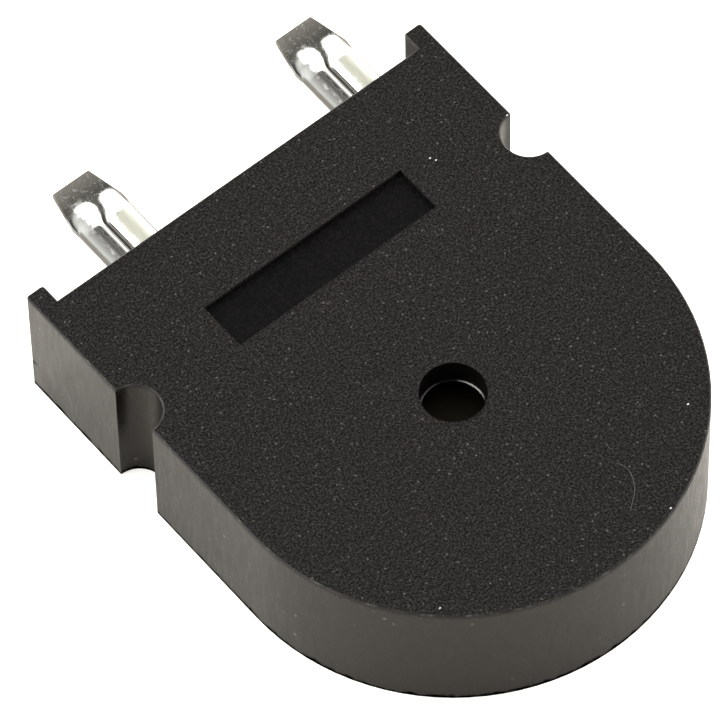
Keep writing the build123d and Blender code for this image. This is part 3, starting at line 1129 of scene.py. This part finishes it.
class BUZZER_OT_diaphragm(bpy.types.Operator):
    """Finish the diaphragm and what is bonded to it"""

    bl_idname = "buzzer.diaphragm"
    bl_label = "Diaphragm"

    def execute(self, context):
        finishes = {
            # Painted shade: the brass is near black, as it lies in the dark under the sound hole
            "diaphragm_plate": sheet_material(
                "brass_painted_dark", first=(0.028, 0.024, 0.018), second=(0.04, 0.034, 0.025),
                roughness=0.45, metallic=1.0, scale=9000.0),
            "ceramic_disc": sheet_material(
                "sintered_ceramic", first=(0.55, 0.5, 0.4), second=(0.66, 0.6, 0.5),
                roughness=0.75, metallic=0.0, scale=6000.0),
            "silver_electrode": sheet_material(
                "fired_silver", first=(0.72, 0.71, 0.68), second=(0.8, 0.79, 0.77),
                roughness=0.5, metallic=1.0, scale=12000.0),
            "silicone_ring": sheet_material(
                "silicone_bead", first=(0.55, 0.54, 0.51), second=(0.66, 0.65, 0.62),
                roughness=0.4, metallic=0.0, scale=3000.0),
        }
        for name, material in finishes.items():
            frame["nodes"][name].material_slots[0].material = material
        return {"FINISHED"}


class BUZZER_OT_dust(bpy.types.Operator):
    """Scatter dust over the top of the case"""

    bl_idname = "buzzer.dust"
    bl_label = "Dust"

    def execute(self, context):
        props = context.scene.buzzer.dust
        work = bmesh.new()
        work.from_mesh(bpy.data.objects["case_shell"].data)
        others = [f for f in work.faces if f.material_index != TOP]
        bmesh.ops.delete(work, geom=others, context="FACES")
        piece = new_object("dust_specks", finished_mesh(work, "dust_specks"))
        apply_tree(
            piece, dust_tree(), Density=props.density, Speck_Radius=props.speck_radius,
            Seed=props.seed, Material=pale_material("pale_dust", props.color))
        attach(piece, BODY)
        return {"FINISHED"}


class BUZZER_OT_marks(bpy.types.Operator):
    """Lay the stray fibre and the painted glints on the top"""

    bl_idname = "buzzer.marks"
    bl_label = "Fibre and Glints"

    def execute(self, context):
        props = context.scene.buzzer.marks
        grey = pale_material("grey_fibre", scaled(props.color, props.fibre_share))
        # White grains that paint glints: painted highlights
        pale = pale_material("painted_glints", props.color)
        for name, make, material in (
                ("fibre", self.make_fibre, grey), ("glints", self.make_glints, pale)):
            piece = new_object(name, finished_mesh(make(props), name, material))
            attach(piece, BODY)
        return {"FINISHED"}

    def make_fibre(self, props):
        """Make the arcs of the fibre."""
        work = bmesh.new()
        for path in FIBRE_PATHS:
            self.add_arc(work, path, props.fibre_radius)
        bmesh.ops.recalc_face_normals(work, faces=work.faces)
        return work

    def add_arc(self, work, path, radius):
        """Run a thin tube along an eased path, just under the top."""
        spots = np.arange(len(path))
        fine = np.linspace(0, spots[-1], FIBRE_STEPS * len(spots))
        bent = np.array([np.interp(fine, spots, column) for column in np.array(path).T]).T
        padded = np.pad(bent, ((FIBRE_EASE, FIBRE_EASE), (0, 0)), mode="edge")
        window = 2 * FIBRE_EASE + 1
        places = MM * np.array([padded[i:i + window].mean(0) for i in range(len(bent))])
        ways = np.gradient(places, axis=0)
        ways /= np.linalg.norm(ways, axis=1)[:, None]
        rings = []
        for (x, y), (dx, dy) in zip(places, ways):
            ring = []
            for turn in np.linspace(0, math.tau, FIBRE_SIDES, endpoint=False):
                out = radius * math.cos(turn)
                up = radius * (math.sin(turn) - 1)
                ring.append(work.verts.new((x - out * dy, y + out * dx, CASE_HIGH.z + up)))
            rings.append(ring)
        for near, far in zip(rings, rings[1:]):
            for i in range(FIBRE_SIDES):
                k = (i + 1) % FIBRE_SIDES
                work.faces.new((near[i], near[k], far[k], far[i]))
        work.faces.new(rings[0])
        work.faces.new(rings[-1])

    def make_glints(self, props):
        """Make flattened white grains as painted glints, their tops level with the case's."""
        work = bmesh.new()
        flatten = Matrix.Diagonal((*GLINT_SHAPE, 1.0))
        height = CASE_HIGH.z - GLINT_SHAPE[2] * props.glint_radius
        for x, y in GLINT_PLACES:
            place = Matrix.Translation((MM * x, MM * y, height))
            bmesh.ops.create_icosphere(
                work, subdivisions=2, radius=props.glint_radius, matrix=place @ flatten)
        return work


class BUZZER_OT_stage(bpy.types.Operator):
    """Set out the floor, the light and the camera"""

    bl_idname = "buzzer.stage"
    bl_label = "Stage"

    def execute(self, context):
        props = context.scene.buzzer.stage
        self.make_floor(props)
        self.make_sky(context.scene, props)
        self.make_camera(context.scene, props)
        context.scene.view_settings.view_transform = "Standard"
        return {"FINISHED"}

    def make_floor(self, props):
        """Lay a round floor just under the object."""
        work = bmesh.new()
        bmesh.ops.create_circle(work, cap_ends=True, segments=96, radius=props.floor_radius)
        mesh = finished_mesh(work, "floor", floor_material(props))
        mesh.transform(Matrix.Translation((0, 0, -props.floor_gap)))
        new_object("floor", mesh)

    def make_sky(self, scene, props):
        """Light the object by a pale surround with a dark front and a dark patch overhead."""
        world = bpy.data.worlds.new("studio_surround")
        scene.world = world
        world.use_nodes = True
        tree = world.node_tree
        tree.nodes.clear()
        way = add_node(tree, "ShaderNodeTexCoord").outputs["Generated"]
        up = axes(tree, way)[2]
        sky = remap(tree, up, 0.0, 1.0, props.low_strength, props.high_strength)
        front = Vector((math.sin(props.azimuth), -math.cos(props.azimuth), 0.0))
        left = front.cross(Vector((0, 0, 1)))
        ahead = vector_math(tree, "DOT_PRODUCT", way, front)
        aside = math_node(tree, "MAXIMUM", vector_math(tree, "DOT_PRODUCT", way, left), 0.0)
        share = math_node(
            tree, "ADD", multiply(tree, ahead, -props.front_shade),
            multiply(tree, aside, props.left_lift), 1.0)
        sky = multiply(tree, sky, share)
        near = vector_math(tree, "DOT_PRODUCT", way, Vector(props.dark_way).normalized())
        patch = remap(tree, near, math.cos(props.dark_outer), math.cos(props.dark_inner))
        strength = add_node(
            tree, "ShaderNodeMix", {0: patch, 2: sky, 3: props.dark_strength}, data_type="FLOAT")
        back = add_node(
            tree, "ShaderNodeBackground",
            {"Color": (1.0, 1.0, 1.0), "Strength": strength.outputs[0]})
        add_node(tree, "ShaderNodeOutputWorld", {"Surface": back.outputs[0]})

    def make_camera(self, scene, props):
        """Place the camera at the photograph's angle."""
        camera = bpy.data.objects.new("camera", bpy.data.cameras.new("camera"))
        scene.collection.objects.link(camera)
        camera.data.lens = props.lens
        camera.data.sensor_width = 36.0
        camera.data.clip_start = 0.01
        camera.data.clip_end = 10.0
        level = math.cos(props.elevation)
        back = Vector((
            math.sin(props.azimuth) * level,
            -math.cos(props.azimuth) * level,
            math.sin(props.elevation),
        ))
        turn = (-back).to_track_quat("-Z", "Y").to_matrix().to_4x4()
        place = Matrix.Translation(Vector(props.target) + back * props.distance)
        camera.matrix_world = place @ turn @ Matrix.Rotation(props.roll, 4, "Z")
        scene.camera = camera


class BUZZER_PT_sidebar(bpy.types.Panel):
    """The buzzer's pieces and settings"""

    bl_idname = "BUZZER_PT_sidebar"
    bl_label = "Piezo Buzzer"
    bl_space_type = "VIEW_3D"
    bl_region_type = "UI"
    bl_category = "Buzzer"

    def draw(self, context):
        settings = context.scene.buzzer
        for operator in OPERATORS:
            self.layout.operator(operator.bl_idname)
        for group in (
                settings.case, settings.dust, settings.marks, settings.pins, settings.stage):
            box = self.layout.box()
            for name in group.__annotations__:
                box.prop(group, name)


OPERATORS = (
    BUZZER_OT_case,
    BUZZER_OT_cover,
    BUZZER_OT_terminals,
    BUZZER_OT_diaphragm,
    BUZZER_OT_dust,
    BUZZER_OT_marks,
    BUZZER_OT_stage,
)
CLASSES = (
    BuzzerCaseProperties,
    BuzzerDustProperties,
    BuzzerMarkProperties,
    BuzzerPinProperties,
    BuzzerStageProperties,
    BuzzerProperties,
    *OPERATORS,
    BUZZER_PT_sidebar,
)


def register():
    """Register the classes and the scene's settings."""
    for cls in CLASSES:
        bpy.utils.register_class(cls)
    bpy.types.Scene.buzzer = PointerProperty(
        type=BuzzerProperties, name="Buzzer", description="Piezo buzzer")


def unregister():
    """Remove the scene's settings and the classes."""
    del bpy.types.Scene.buzzer
    for cls in reversed(CLASSES):
        bpy.utils.unregister_class(cls)


def main():
    """Build every piece in order."""
    register()
    bpy.ops.buzzer.stage()
    bpy.ops.buzzer.case()
    bpy.ops.buzzer.cover()
    bpy.ops.buzzer.terminals()
    bpy.ops.buzzer.diaphragm()
    bpy.ops.buzzer.dust()
    bpy.ops.buzzer.marks()


if __name__ == "__main__":
    main()
